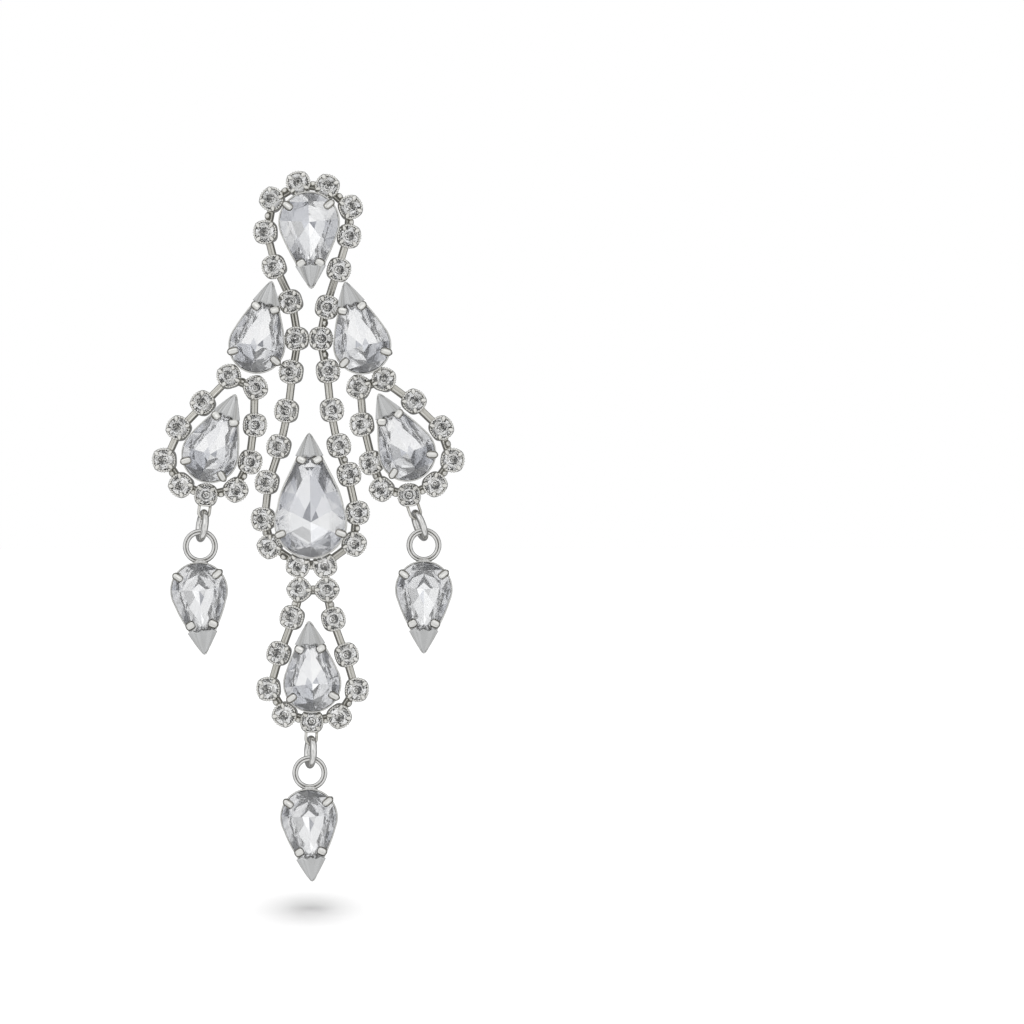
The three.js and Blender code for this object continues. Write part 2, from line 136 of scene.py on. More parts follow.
# %% [markdown]
# The cup chain follows four closed loops. Each point is the middle of one cup, sideways and upwards
# from the post. The pear stones have a middle, which is the middle of their round end, the radius
# there, the distance from that middle to the point, and the turn of the point from straight up.

# %% Where the cups and the pears are
CHAIN_ROUTES = {
    "upper_chain": [
        (-1.4, -43.9), (-5.0, -41.5), (-5.8, -38.1), (-5.3, -33.4), (-3.8, -28.8), (-2.8, -24.2),
        (-2.2, -19.2), (-1.5, -14.9), (-2.3, -10.1), (-4.4, -5.6), (-5.5, -1.2), (-4.7, 2.9),
        (-1.4, 4.9), (2.2, 4.5), (5.1, 1.9), (4.9, -1.7), (3.6, -6.0), (2.1, -10.8),
        (1.3, -14.9), (2.2, -19.1), (2.7, -24.1), (3.6, -28.7), (4.9, -32.4), (6.0, -37.3),
        (5.6, -41.2), (1.9, -43.9),
    ],
    "lower_chain": [
        (-1.2, -47.3), (-2.1, -50.8), (-3.8, -55.4), (-5.1, -59.9), (-3.1, -63.1), (0.3, -64.1),
        (3.7, -63.3), (5.9, -60.0), (4.6, -55.6), (2.9, -51.0), (2.1, -47.3),
    ],
    "left_side_chain": [
        (-10.3, -19.9), (-13.6, -23.3), (-16.7, -26.5), (-18.5, -30.5), (-16.4, -33.6),
        (-13.3, -35.0), (-9.6, -34.2), (-7.8, -30.7), (-7.2, -26.0), (-7.1, -21.3),
    ],
    "right_side_chain": [
        (9.5, -20.3), (13.3, -23.1), (16.8, -26.5), (18.2, -30.5), (16.0, -33.5),
        (12.8, -35.0), (9.4, -34.1), (8.1, -30.8), (6.9, -25.9), (6.5, -21.2),
    ],
}

# name: x, z, radius, reach, swell of the flanks, turn in degrees, angle of the shoulder claws,
# how far the tip claws stand from the point, and the kind of stone
PEARS = {
    "top": (0, 0, 3.96, 8.48, 0.1, 178, 129, 3.0, "small"),
    "upper_left": (-6.7, -15.8, 3.66, 8.4, 0.1, 13, 117, 3.3, "small"),
    "upper_right": (6.8, -15.8, 3.74, 8.4, 0.1, -15, 120, 3.3, "small"),
    "left_side": (-12.7, -29.8, 3.7, 8.32, 0.1, 23, 128, 3.2, "small"),
    "right_side": (12.6, -29.6, 3.7, 8.4, 0.1, -26, 120, 3.2, "small"),
    "centre": (0.2, -38.5, 4.7, 11.42, 0.4, -1, 111, 3.2, "large"),
    "lower": (0.4, -59.2, 3.74, 7.98, 0.1, -3, 122, 3.3, "small"),
}

# name: the chain that it hangs from, and the lean of its pear in degrees
DROPS = {
    "left": ("left_side_chain", 5),
    "centre": ("lower_chain", 3),
    "right": ("right_side_chain", 0),
}
print("round stones:", sum(map(len, CHAIN_ROUTES.values())), "pears:", len(PEARS) + len(DROPS))

# %% [markdown]
# ## Surfaces from arrays
#
# Every shape below is a grid of points worked out with numpy. Columns run round the shape and rows
# run along it. Quads between neighbours make the skin, and two flat faces close the ends. A surface
# is kept as its points and its lists of faces, each list with the number of its finish, whether it
# is shaded smooth and its tone, so that copies and joins are only array work. Modelling by hand
# with bmesh would also do, but then each claw would be placed one by one.

# %% Grids, copies and joins
def outward(points, faces):
    """Turns all faces round if the volume inside them is negative. The volume is the sum of the
    tetrahedra from the origin."""
    volume = 0
    for indices, *_ in faces:
        corners = points[indices]
        volume += np.sum(corners[:, :1] * np.cross(corners[:, 1:-1], corners[:, 2:]))
    if volume < 0:
        faces = [(indices[:, ::-1], *rest) for indices, *rest in faces]
    return points, faces


def shell(grid, finish=0, smooth=True, ring=False):
    """A closed skin on a grid of rows and columns. Columns always join round. Rows join round on a
    ring, and end in two flat faces otherwise."""
    rows, columns = grid.shape[:2]
    index = np.arange(rows * columns).reshape(rows, columns)
    wrapped = np.hstack([index, index[:, :1]])
    if ring:
        wrapped = np.vstack([wrapped, wrapped[:1]])
    corners = [wrapped[:-1, :-1], wrapped[:-1, 1:], wrapped[1:, 1:], wrapped[1:, :-1]]
    faces = [(np.stack(corners, axis=-1).reshape(-1, 4), finish, smooth, 1.0)]
    if not ring:
        faces += [(index[:1, ::-1], finish, False, 1.0), (index[-1:], finish, False, 1.0)]
    return outward(grid.reshape(-1, 3), faces)


def placed(surface, matrices):
    """Copies of a surface, one for each 4 by 4 matrix, as one surface."""
    points, faces = surface
    matrices = np.asarray(matrices, dtype=float).reshape(-1, 4, 4)
    spots = np.einsum("mij,nj->mni", matrices[:, :3, :3], points) + matrices[:, None, :3, 3]
    steps = len(points) * np.arange(len(matrices))[:, None, None]
    copied = []
    for indices, finish, smooth, painted_reflection in faces:
        painted_reflections = np.tile(np.broadcast_to(painted_reflection, len(indices)), len(matrices))
        copied.append(((indices + steps).reshape(-1, indices.shape[1]), finish, smooth, painted_reflections))
    return spots.reshape(-1, 3), copied


def joined(*surfaces):
    """Several surfaces as one, each still closed in itself."""
    starts = np.cumsum([0] + [len(points) for points, faces in surfaces[:-1]])
    faces = []
    for (_, lists), start in zip(surfaces, starts):
        faces += [(indices + start, *rest) for indices, *rest in lists]
    return np.concatenate([points for points, lists in surfaces]), faces


def turned(degrees, x=0.0, depth=0.0, z=0.0):
    """The matrix that turns a shape as the viewer sees it, its top towards +X, and moves it."""
    angle = np.radians(degrees)
    sine, cosine = np.sin(angle), np.cos(angle)
    return np.array([[cosine, 0, sine, x], [0, 1, 0, -depth], [-sine, 0, cosine, z], [0, 0, 0, 1]])


def polar(distance, angle, depth):
    """Points at a distance from the middle, at an angle from straight up towards +X, at a depth."""
    distance, angle, depth = np.broadcast_arrays(distance, angle, depth)
    return np.stack([distance * np.sin(angle), -depth, distance * np.cos(angle)], axis=-1)


def around(count):
    """Equal angles of a full turn."""
    return np.linspace(0, 2 * np.pi, count, endpoint=False)


# %% [markdown]
# A joined surface becomes a Blender mesh in one call. Two values go along with it. Each point keeps
# a share of painted shade, from 0 to 1, worked out from its depth, which the metals read to darken
# there. Each face keeps a painted reflection, which the foil behind the stones reads to paint that
# facet lighter or darker, with a little added from a seeded generator, so that no two facets are
# quite alike.

# %% From arrays to a mesh
def make_piece(name, surface, finishes, body, nodes, painted_shade=None, seed=1):
    """A mesh from a surface, riding on its body in place of the nodes that it stands for."""
    points, faces = surface
    mesh = bpy.data.meshes.new(name)
    mesh.from_pydata((points * MM).tolist(), [], sum((indices.tolist() for indices, *_ in faces), []))
    counts = [len(indices) for indices, *_ in faces]
    mesh.polygons.foreach_set("material_index", np.repeat([finish for _, finish, *_ in faces], counts))
    mesh.polygons.foreach_set("use_smooth", np.repeat([smooth for _, _, smooth, _ in faces], counts))
    # painted shade: how much each point is darkened, worked out from its depth
    depth = np.zeros(len(points)) if painted_shade is None else painted_shade(points)
    mesh.attributes.new("painted_shade", "FLOAT", "POINT").data.foreach_set("value", depth.astype(np.float32))
    # painted reflection of each face: how light or dark the foil paints that facet, with a random spread
    painted_reflections = np.concatenate([np.broadcast_to(painted_reflection, len(indices)) for indices, _, _, painted_reflection in faces])
    painted_reflections = painted_reflections + 0.16 * (np.random.default_rng(seed).random(len(painted_reflections)) - 0.5)
    mesh.attributes.new("painted_reflection", "FLOAT", "FACE").data.foreach_set("value", painted_reflections.astype(np.float32))
    for finish in finishes:
        mesh.materials.append(finish)
    mesh.update()
    piece = bpy.data.objects.new(name, mesh)
    bpy.context.scene.collection.objects.link(piece)
    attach(piece, body)
    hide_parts(*nodes)
    triangles = sum(len(indices) * (indices.shape[1] - 2) for indices, *_ in faces)
    print(f"{name}: {triangles} triangles")
    return piece


# %% [markdown]
# ## Shader maths as Python
#
# A material is a graph of nodes. Written as node calls it soon hides its own formula, so one small
# class wraps a socket and lets ordinary arithmetic add the Math nodes. One method makes every other
# kind of node.

# %% A socket that can be calculated with
class Wire:
    def __init__(self, recipe, socket):
        self.recipe = recipe
        self.socket = socket

    def maths(self, operation, *values):
        return self.recipe.node("ShaderNodeMath", dict(enumerate(values)), operation=operation)

    def __add__(self, other):
        return self.maths("ADD", self, other)

    def __sub__(self, other):
        return self.maths("SUBTRACT", self, other)

    def __mul__(self, other):
        return self.maths("MULTIPLY", self, other)

    def __rsub__(self, other):
        return self.maths("SUBTRACT", other, self)

    __radd__ = __add__
    __rmul__ = __mul__


class Recipe:
    """A material under construction."""

    def __init__(self, name):
        self.material = bpy.data.materials.new(name)
        self.material.use_nodes = True
        self.tree = self.material.node_tree
        self.tree.nodes.clear()

    def node(self, kind, values=None, output=0, stops=None, **settings):
        """Adds a node: its settings and a ramp's stops first, then its sockets' values or wires."""
        node = self.tree.nodes.new(kind)
        for setting, value in settings.items():
            setattr(node, setting, value)
        for place, (position, color) in enumerate(stops or []):
            elements = node.color_ramp.elements
            element = elements[place] if place < 2 else elements.new(position)
            element.position = position
            element.color = (*color, 1)
        for key, value in (values or {}).items():
            if isinstance(value, Wire):
                self.tree.links.new(value.socket, node.inputs[key])
            else:
                node.inputs[key].default_value = value
        return Wire(self, node.outputs[output])

    def place(self):
        return self.node("ShaderNodeTexCoord", output="Object")

    def noise(self, scale, detail=3.0):
        """Noise from 0 to 1 on the object's own coordinates. The scale is the lumps in a metre."""
        values = {"Vector": self.place(), "Scale": scale, "Detail": detail}
        return self.node("ShaderNodeTexNoise", values, output="Fac")

    def attribute(self, name):
        return self.node("ShaderNodeAttribute", output="Fac", attribute_name=name)

    def ramp(self, value, *stops):
        return self.node("ShaderNodeValToRGB", {"Fac": value}, stops=stops, output="Color")

    def bump(self, height, distance):
        return self.node("ShaderNodeBump", {"Height": height, "Distance": distance, "Strength": 1.0})

    def finish(self, **sockets):
        """Ends the recipe with the shader. Its sockets are named with low dashes for spaces."""
        values = {name.replace("_", " "): value for name, value in sockets.items()}
        shader = self.node("ShaderNodeBsdfPrincipled", values)
        output = self.tree.nodes.new("ShaderNodeOutputMaterial")
        self.tree.links.new(shader.socket, output.inputs["Surface"])
        return self.material


# %% [markdown]
# ## Finishes
#
# The silver coloured metal shows in several states. The cups are stamped, with a slightly grainy
# skin, and painted shade darkens the crevices between their claws. The pear settings are cast and
# satin. The rings and links are drawn wire, which is the smoothest. The feet of the claws are a dark
# copy of the metal, painted shade for the shade of the rim, and the plates folded over the points
# are a duller and cooler grey. All are one plated metal, so they share a recipe: a grey that darkens
# with painted shade in crevices and low parts, and in faint random patches as well, a roughness that
# varies, and a fine bump.

# %% Metals
def plated_metal(name, light, roughness, grain, grain_scale):
    """The light colour fades to a warm share of itself and to near black as the painted shade deepens."""
    recipe = Recipe(name)
    warm = (0.67, 0.66, 0.625)
    patches = recipe.noise(420)
    fine = recipe.noise(grain_scale, 4.0)
    # painted shade from the per-point attribute, plus faint random patches of darker metal
    dark = recipe.attribute("painted_shade") + 0.22 * (patches - 0.5)
    color = recipe.ramp(
        dark,
        (0.0, light),
        (1.0, (0.14, 0.135, 0.122)),
        (0.45, tuple(share * channel for share, channel in zip(warm, light))),
    )
    return recipe.finish(
        Base_Color=color,
        Metallic=1.0,
        Roughness=roughness + 0.12 * (fine - 0.5) + 0.1 * recipe.attribute("painted_shade"),
        Normal=recipe.bump(fine, grain),
    )


stamped = plated_metal("stamped_plate", (0.84, 0.832, 0.805), 0.17, 0.00002, 2600)
cast = plated_metal("cast_plate", (0.8, 0.797, 0.78), 0.2, 0.000012, 1800)
wire = plated_metal("drawn_wire", (0.74, 0.735, 0.722), 0.1, 0.000004, 3200)
# a dark copy of the metal: painted shade for the claw feet under the rim
painted_shade_metal = plated_metal("painted_shade_plate", (0.34, 0.33, 0.31), 0.3, 0.000012, 1800)
folded = plated_metal("folded_plate", (0.6, 0.605, 0.61), 0.26, 0.000012, 1800)
print("metals:", stamped.name, cast.name, wire.name, painted_shade_metal.name, folded.name)

# %% [markdown]
# The stones are clear glass with a mirror foil behind their facets, as on real dress jewellery. So a
# stone is one closed mesh with two finishes: glass on the crown that faces the viewer, and foil on
# the facets behind. Light goes in through the crown, is thrown about by the foil and comes out
# again, which makes part of the pattern of white, grey and dark facets. The rest is painted
# reflection: each facet of the foil is painted its own grey, most bright, some grey and a few dark.
# The greys are a little blue in the pears and a little warm in the round stones.

# %% Glass and foil
def clear_glass():
    """Glass with a very faint haze."""
    recipe = Recipe("clear_glass")
    haze = recipe.noise(900)
    return recipe.finish(
        Base_Color=recipe.ramp(haze, (0.3, (0.985, 0.99, 1.0)), (0.7, (1.0, 1.0, 1.0))),
        Roughness=0.004 + 0.012 * haze,
        IOR=1.55,
        Transmission_Weight=1.0,
    )


def mirror_foil(name, mirror, blue):
    """A facet's painted reflection picks its grey, so that facets are painted lighter or darker. The
    tint takes from red and adds to blue by a share.
    """
    recipe = Recipe(name)
    tint = np.array([-0.5, -0.15, 1.0]) * blue
    fine = recipe.noise(1500)
    # the facet's painted reflection, with a fine random grain
    painted_reflection = recipe.attribute("painted_reflection") + 0.05 * (fine - 0.5)
    color = recipe.ramp(
        painted_reflection,
        (0.0, tuple(0.25 + tint)),
        (1.0, (1.0, 1.0, 1.0)),
        (0.14, tuple(0.34 + tint)),
        (0.2, tuple(0.59 + 1.4 * tint)),
        (0.42, tuple(0.785 + tint)),
        (0.7, tuple(0.935 + 0.3 * tint)),
    )
    return recipe.finish(
        Base_Color=color,
        Metallic=mirror,
        Roughness=0.03 + 0.03 * fine,
        Normal=recipe.bump(fine, 0.000004),
    )


glass = clear_glass()
pear_foil = mirror_foil("pear_foil", 0.68, 0.022)
round_foil = mirror_foil("round_foil", 0.88, -0.012)
print("stones:", glass.name, pear_foil.name, round_foil.name)

# %% [markdown]
# ## Cut stones
#
# A brilliant is cut in bands of facets. Half way round between two corners of the table there is a
# point on the crown. Between these lie the star facets, the long kites and the small facets along
# the edge. Behind, a few large main facets meet at the foot, which lies behind the middle of the
# round end, and smaller ones lie along the edge. The mains are what shows through the table. The
# same bands make a round stone and a pear: only the distance from the middle to the edge changes
# with the angle. On a pear that distance is the radius round the end, and towards the point it is
# where a ray from the middle meets the straight flank.

# %% Outlines
def pear_edge(angle, radius, reach, swell):
    """Distance from the middle to a pear's edge. Past the angle at which the flank leaves the round
    end it is the radius, and before it the radius over the cosine of the angle that is left. The
    flank swells by half a sine wave. The flanks aim past the point, and the distance is blended
    with the reach, as the root of a sum of high powers, so that the tip is a little blunt."""
    tangent = np.arccos(radius / (reach + TIP_BLUNT))
    off_point = np.abs((angle + np.pi) % (2 * np.pi) - np.pi)
    left = np.maximum(tangent - off_point, 0)
    flank = radius / np.cos(left) + swell * np.sin(np.pi * np.minimum(off_point / tangent, 1))
    return (flank**-40.0 + (1.01 * reach) ** -40.0) ** (-1 / 40)


def cut_stone(edge, crown, back, corners, mains, painted_reflections, culet, table=0.6, low=0.6, bend=0.5, sink=0.6):
    """A stone with its edge at depth 0, its table forward at the crown's height and its foot at the
    back. The crown has a number of corners, and the back as many main facets or half as many, with
    a ring of small facets, the culet, round the foot. The angles crowd towards the point by the
    bend, where a pear's flanks are long. The mains start at a share of the back's depth, the sink."""
    step = around(2 * corners)
    angle = step - bend * np.sin(step)
    at_corner, between = angle[0::2], angle[1::2]
    stride = 2 * corners // mains
    girdle = 0.06
    bands = [
        polar(table * edge(at_corner), at_corner, crown),
        polar((0.35 + 0.65 * table) * edge(between) * 1.03, between, 0.6 * crown),
        polar(edge(angle), angle, girdle),
        polar(edge(angle), angle, -girdle),
        polar(low * edge(angle[::stride]), angle[::stride], -sink * back),
        polar(0.42 * low * edge(angle[::stride]), angle[::stride], -(0.62 + 0.42 * sink) * back),
        polar(0, np.zeros(1), -back),
    ]
    starts = np.cumsum([0] + [len(band) for band in bands])
    top, mid, front_edge, back_edge, low_ring, small, foot = starts[:-1]
    here = np.arange(corners)
    after, before = (here + 1) % corners, (here - 1) % corners
    all_round = np.arange(2 * corners)
    ahead = (all_round + 1) % (2 * corners)
    crown_faces = [
        (top + here)[None, :],
        np.stack([top + here, mid + here, top + after], axis=1),
        np.stack([top + here, mid + before, front_edge + 2 * here, mid + here], axis=1),
        np.stack([mid + here, front_edge + 2 * here, front_edge + 2 * here + 1], axis=1),
        np.stack([mid + here, front_edge + 2 * here + 1, front_edge + 2 * after], axis=1),
    ]
    main = np.arange(mains)
    next_main = (main + 1) % mains
    half = stride // 2
    rising = [back_edge + (stride * main + number) % (2 * corners) for number in range(half + 1)]
    falling = [back_edge + (stride * next_main - number) % (2 * corners) for number in range(half + 1)]
    kites = np.stack(
        [small + main, low_ring + main, rising[half], low_ring + next_main, small + next_main], axis=1
    )
    # painted reflections of the small facets along the edge, spread by the golden ratio
    scatter = 0.28 + 0.72 * np.modf(0.618 * (1 + np.arange(2 * mains)))[0]
    edge_quads = [front_edge + all_round, back_edge + all_round, back_edge + ahead, front_edge + ahead]
    back_faces = [
        (np.stack(edge_quads, axis=1), 1.0),
        (kites, painted_reflections),
        (np.stack([foot + 0 * main, small + main, small + next_main], axis=1), culet),
        (np.stack([low_ring + main, *rising], axis=1), scatter[0::2]),
        (np.stack([low_ring + next_main, *falling], axis=1)[:, ::-1], scatter[1::2]),
    ]
    faces = [(face, 0, False, 1.0) for face in crown_faces]
    faces += [(face, 1, False, painted_reflection) for face, painted_reflection in back_faces]
    return outward(np.concatenate(bands), faces)


# the round stones' foil facets are painted in greys: painted reflections of the kites and the culet
ROUND_STONE = cut_stone(
    lambda angle: ROUND_RADIUS + 0 * angle,
    crown=0.5,
    back=0.8,
    corners=8,
    mains=8,
    painted_reflections=(0.8, 0.45, 0.7, 0.4, 0.85, 0.5, 0.6, 0.95),
    culet=(0.2, 0.5, 0.24, 0.2, 0.45, 0.22, 0.2, 0.6),
    table=0.5,
    bend=0,
    sink=0.38,
)
print("facets of a round stone:", sum(len(indices) for indices, *_ in ROUND_STONE[1]))

# %% [markdown]
# ## Wire, claws and beads
#
# Rings, links, eyelets and claws are all a section carried along a path. The paths are flat, so the
# direction across the path's plane stays the same all the way and the section never twists. A bead
# is the same grid as a globe.

# %% Sweeps and beads
def sweep(path, across, width, thick, sides=12, ring=False, finish=0):
    """A tube whose section is an ellipse: across the plane of the path by width, and in that plane,
    square to the path, by thick. Width and thick are whole sizes, one for all points or one for each."""
    path = np.asarray(path, dtype=float)
    across = np.asarray(across, dtype=float)
    along = np.roll(path, -1, axis=0) - np.roll(path, 1, axis=0) if ring else np.gradient(path, axis=0)
    along /= np.linalg.norm(along, axis=1, keepdims=True)
    outwards = np.cross(along, across)
    wide = np.broadcast_to(width, len(path))[:, None, None] / 2
    deep = np.broadcast_to(thick, len(path))[:, None, None] / 2
    turn = around(sides)[None, :, None]
    grid = path[:, None] + wide * np.cos(turn) * across + deep * np.sin(turn) * outwards[:, None]
    return shell(grid, finish=finish, ring=ring)


def bead(width, height, depth, columns=8, rows=5, finish=0):
    """An egg shaped bead: latitude by longitude, with its poles to the front and the back."""
    latitude = np.linspace(-np.pi / 2, np.pi / 2, rows + 2)[1:-1, None]
    longitude = around(columns)[None, :]
    radius = np.cos(latitude)
    grid = np.stack(
        np.broadcast_arrays(
            width / 2 * radius * np.cos(longitude),
            depth / 2 * np.sin(latitude),
            height / 2 * radius * np.sin(longitude),
        ),
        axis=-1,
    )
    return shell(grid, finish=finish)


def loop(width, height, wire_size, deep=None, steps=48):
    """A ring of wire, upright and facing the viewer, round unless its depth is given. Sizes are
    outside ones."""
    angle = around(steps)
    path = polar(1.0, angle, 0.0) * ((width - wire_size) / 2, 1, (height - wire_size) / 2)
    return sweep(path, (0, 1, 0), deep or wire_size, wire_size, sides=16, ring=True)


print("triangles of a ring:", 2 * len(loop(RING_DIAMETER, RING_DIAMETER, RING_WIRE)[1][0][0]))

# %% [markdown]
# ## Cup chain
#
# A cup is stamped from sheet: a square with round corners whose four corners are drawn up into
# claws and pressed over the stone, with a row of grains along each side. Its outline is a
# superellipse, which lies between a circle and a square. The rim rises and leans in where the
# outline has its corners. The claws end in a bright rounded head.

# %% One cup
def cup_metal(grained=(0, 1, 2, 3)):
    """A cup with grains on the sides that are listed: 0 is its upper side and 1 its right side."""
    half = CUP_WIDTH / 2
    angle = around(64)[None, :]
    squareness = 3.2
    powers = np.abs(np.cos(angle)) ** squareness + np.abs(np.sin(angle)) ** squareness
    outline = powers ** (-1 / squareness)
    claw = np.abs(np.sin(2 * angle)) ** 5
    # share of the half width, depth, and how much of the claw's rise and lean this row takes
    wall = np.array([
        (0.04, CUP_BACK, 0), (0.78, CUP_BACK, 0), (0.86, CUP_BACK + 0.06, 0), (0.9, CUP_BACK + 0.2, 0),
        (0.93, CUP_BACK + 0.8, 0), (0.93, CUP_FRONT - 0.62, 0), (0.99, CUP_FRONT - 0.5, 0.1),
        (1.01, CUP_FRONT - 0.25, 0.3), (1, CUP_FRONT - 0.08, 0.7), (0.97, CUP_FRONT, 1),
        (0.91, CUP_FRONT + 0.02, 1), (0.87, CUP_FRONT - 0.03, 0.9), (0.85, CUP_FRONT - 0.2, 0.2),
        (0.81, CUP_FRONT - 0.5, 0), (0.3, CUP_FRONT - 1.2, 0), (0.04, CUP_FRONT - 1.25, 0),
    ])
    share, depth, rise = (wall[:, column, None] for column in range(3))
    wall_grid = polar(half * outline * (share - 0.1 * claw * rise), angle, depth + 0.3 * claw * rise)
    corner_angles = 45 + 90 * np.arange(4)
    heads = placed(bead(0.6, 0.82, 0.5, 10, 7), [
        turned(angle) @ turned(0, z=1.25, depth=CUP_FRONT + 0.26) for angle in corner_angles
    ])
    grain_angles = (90 * np.array(grained)[:, None] + np.array([-26, -13, 0, 13, 26])).ravel()
    grains = placed(bead(0.27, 0.4, 0.36, 6, 5), [
        turned(angle) @ turned(0, z=1.43, depth=CUP_FRONT + 0.02) for angle in grain_angles
    ])
    return joined(shell(wall_grid), heads, grains)


CUP = cup_metal()
print("triangles of a cup:", sum(len(indices) * (indices.shape[1] - 2) for indices, *_ in CUP[1]))

# %% [markdown]
# The bars between the cups are two flat strips side by side, so they show a groove down the middle.
# They run behind the cups from middle to middle. The section is a row of heights across the bar,
# with a narrow dip for the groove and soft edges, and it is carried straight along, a little
# narrower half way. Short bars hold a bead of solder.

# %% Bars
def bar(start, end, lean):
    """A grooved bar between two cups. Across it the height is a flat with soft edges less a bell
    shaped groove, in front and behind. Its face leans out of the loop. Where the cups stand close,
    a bead of solder covers it."""
    share = np.linspace(-1, 1, 13)
    height = (1 - 0.4 * np.abs(share) ** 6) - 0.55 * np.exp(-((share / 0.15) ** 2))
    across = np.concatenate([share, share[::-1]]) * BAR_WIDTH / 2
    depth = np.concatenate([height, -height[::-1]]) * BAR_THICK / 2
    span = np.subtract(end, start)
    length = np.hypot(*span)
    along = np.linspace(0, 1, 7)[:, None]
    waist = 1.06 - 0.05 * np.sin(np.pi * along)
    grid = np.stack(np.broadcast_arrays(across * waist, -depth, along * length), axis=-1)
    middle = CUP_BACK + BAR_INSET + BAR_THICK / 2
    turn = np.degrees(np.arctan2(span[0], span[1]))
    surface = shell(grid)
    if length < SHORT_BAR:
        solder = placed(bead(0.85, 1.05, 0.8, 12, 7), turned(0, z=length / 2, depth=0.55))
        surface = joined(surface, solder)
    tilted = np.eye(4)
    tilted[:2, :2] = [[np.cos(lean), -np.sin(lean)], [np.sin(lean), np.cos(lean)]]
    return placed(surface, turned(turn, start[0], middle, start[1]) @ tilted)


print("triangles of a bar:", 2 * len(bar((0, 0), (0, 2 * SHORT_BAR), 0)[1][0][0]))

# %% [markdown]
# A link hangs in an eyelet, a staple of thin wire under the cup. Where they hang and which way they
# swing is known from the frame's joints, so both are read from there and not typed again.

# %% Eyelets
def joint_named(name):
    return next(joint for joint in frame["joints"] if joint["name"] == name)


def link_matrix(side):
    """Where a link hangs: its own Z runs from the ring's hook up to the eyelet, and its own X is the
    axis that it swings about."""
    pivot = np.array(joint_named(f"{side}_link_swing")["pos_m"]) / MM
    hook = np.array(joint_named(f"{side}_drop_sway")["pos_m"]) / MM
    up = (pivot - hook) / np.linalg.norm(pivot - hook)
    across = np.array(joint_named(f"{side}_link_swing")["axis"])
    matrix = np.eye(4)
    matrix[:3, 0], matrix[:3, 1], matrix[:3, 2], matrix[:3, 3] = across, np.cross(up, across), up, pivot
    return matrix


def eyelet():
    """A staple of thin wire: two legs up into the cup, and half a circle that passes under the link's
    pivot."""
    middle = LINK_WIRE / 2 + LINK_CLEARANCE + EYELET_WIRE / 2
    turn = np.linspace(-np.pi / 2, np.pi / 2, 17)
    bend = np.stack([middle * np.sin(turn), 0 * turn, middle * (1 - np.cos(turn))], axis=1)
    down = [(-middle, 0, EYELET_TOP), (-middle, 0, 1.2)]
    up = [(middle, 0, 1.2), (middle, 0, EYELET_TOP)]
    return sweep(np.vstack([down, bend, up]), (0, 1, 0), EYELET_WIRE, EYELET_WIRE, sides=10)


print("triangles of an eyelet:", 2 * len(eyelet()[1][0][0]))

# %% [markdown]
# Each chain is bent into a loop by hand, so its cups and bars lean out of the loop a little and show
# their sides. The cup that carries a link is held straight by it. One joined surface holds all the
# metal of a chain and another all its stones, which keeps the number of objects small.

# %% The four chains
def turns_left(route):
    """1 for a loop that runs anticlockwise and -1 for a clockwise one, which is the sign of the area
    from the cross products of its points. The loop's outside is then on the right or on the left."""
    spots = np.array(route)
    ahead = np.roll(spots, -1, axis=0)
    return np.sign(np.sum(spots[:, 0] * ahead[:, 1] - ahead[:, 0] * spots[:, 1]))


def cup_places(route, carrier):
    """A matrix for each cup. Its up runs from the cup before to the cup after, and its face leans out
    of the loop, but for the one that carries a link, which stands upright and is a trifle smaller."""
    spots = np.array(route)
    lean = np.degrees(np.arctan2(*(np.roll(spots, -1, axis=0) - np.roll(spots, 1, axis=0)).T))
    middle = CUP_BACK + 0.3 * CUP_DEPTH
    forward, back = turned(0, depth=middle), turned(0, depth=-middle)
    matrices = []
    for number, (angle, (x, z)) in enumerate(zip(lean, route)):
        tilt = 0 if number == carrier else np.radians(CUP_TILT) * turns_left(route)
        size = 0.97 if number == carrier else 1
        tilted = np.diag([size, 1, size, 1.0])
        tilted[:2, :2] = [[size * np.cos(tilt), -np.sin(tilt)], [size * np.sin(tilt), np.cos(tilt)]]
        matrices.append(turned(angle, x, 0, z) @ forward @ tilted @ back)
    return matrices


def chain_painted_shade(points):
    """Painted shade by depth: dark low in the cups and on the bars beside them, least on the grains
    and a little more on the claws.
    """
    heights = CUP_BACK + np.array([0, 0.25, 0.5, 1.6, CUP_DEPTH + 0.1, CUP_DEPTH + 0.5])
    return np.interp(-points[:, 1], heights, [0.08, 0.2, 0.48, 0.14, 0.03, 0.16])


for seed, (chain, route) in enumerate(CHAIN_ROUTES.items()):
    carried = [side for side, (held_by, _) in DROPS.items() if held_by == chain]
    staples = [placed(eyelet(), link_matrix(side)) for side in carried]
    carrier = int(np.argmin(np.array(route)[:, 1])) if staples else -1
    cups = cup_places(route, carrier)
    lean = np.radians(BAR_TILT) * turns_left(route)
    bars = [bar(start, end, lean) for start, end in zip(route, route[1:] + route[:1])]
    leaning = [matrix for number, matrix in enumerate(cups) if number != carrier]
    if staples:
        grained = (0, 2, 3) if turns_left(route) > 0 else (0, 1, 2)
        staples.append(placed(cup_metal(grained), cups[carrier]))
    metal = joined(placed(CUP, leaning), *bars, *staples)
    # the cups and bars are darkened by painted shade, set by their depth
    make_piece(f"{chain}_cups", metal, [stamped], "frame", [chain], chain_painted_shade)
    seats = [matrix @ turned(11 * number, depth=CUP_FRONT - 0.1) for number, matrix in enumerate(cups)]
    stones = placed(ROUND_STONE, seats)
    make_piece(f"{chain}_stones", stones, [glass, round_foil], "frame", [chain], seed=seed)

# %% [markdown]
# ## Pear settings
#
# A pear sits in a cast basket. The basket is slim behind, where it passes between the cups, and
# flares in front of them to a thin double rim that follows the stone. The stone's own point is
# covered by a folded plate with a low ridge. A pear that shrinks by one share all round keeps its
# distance to its edge even, so each row of the basket is only a share of the outline and a depth,
# from the middle of the back round the outside, over the rim and down inside to the seat.

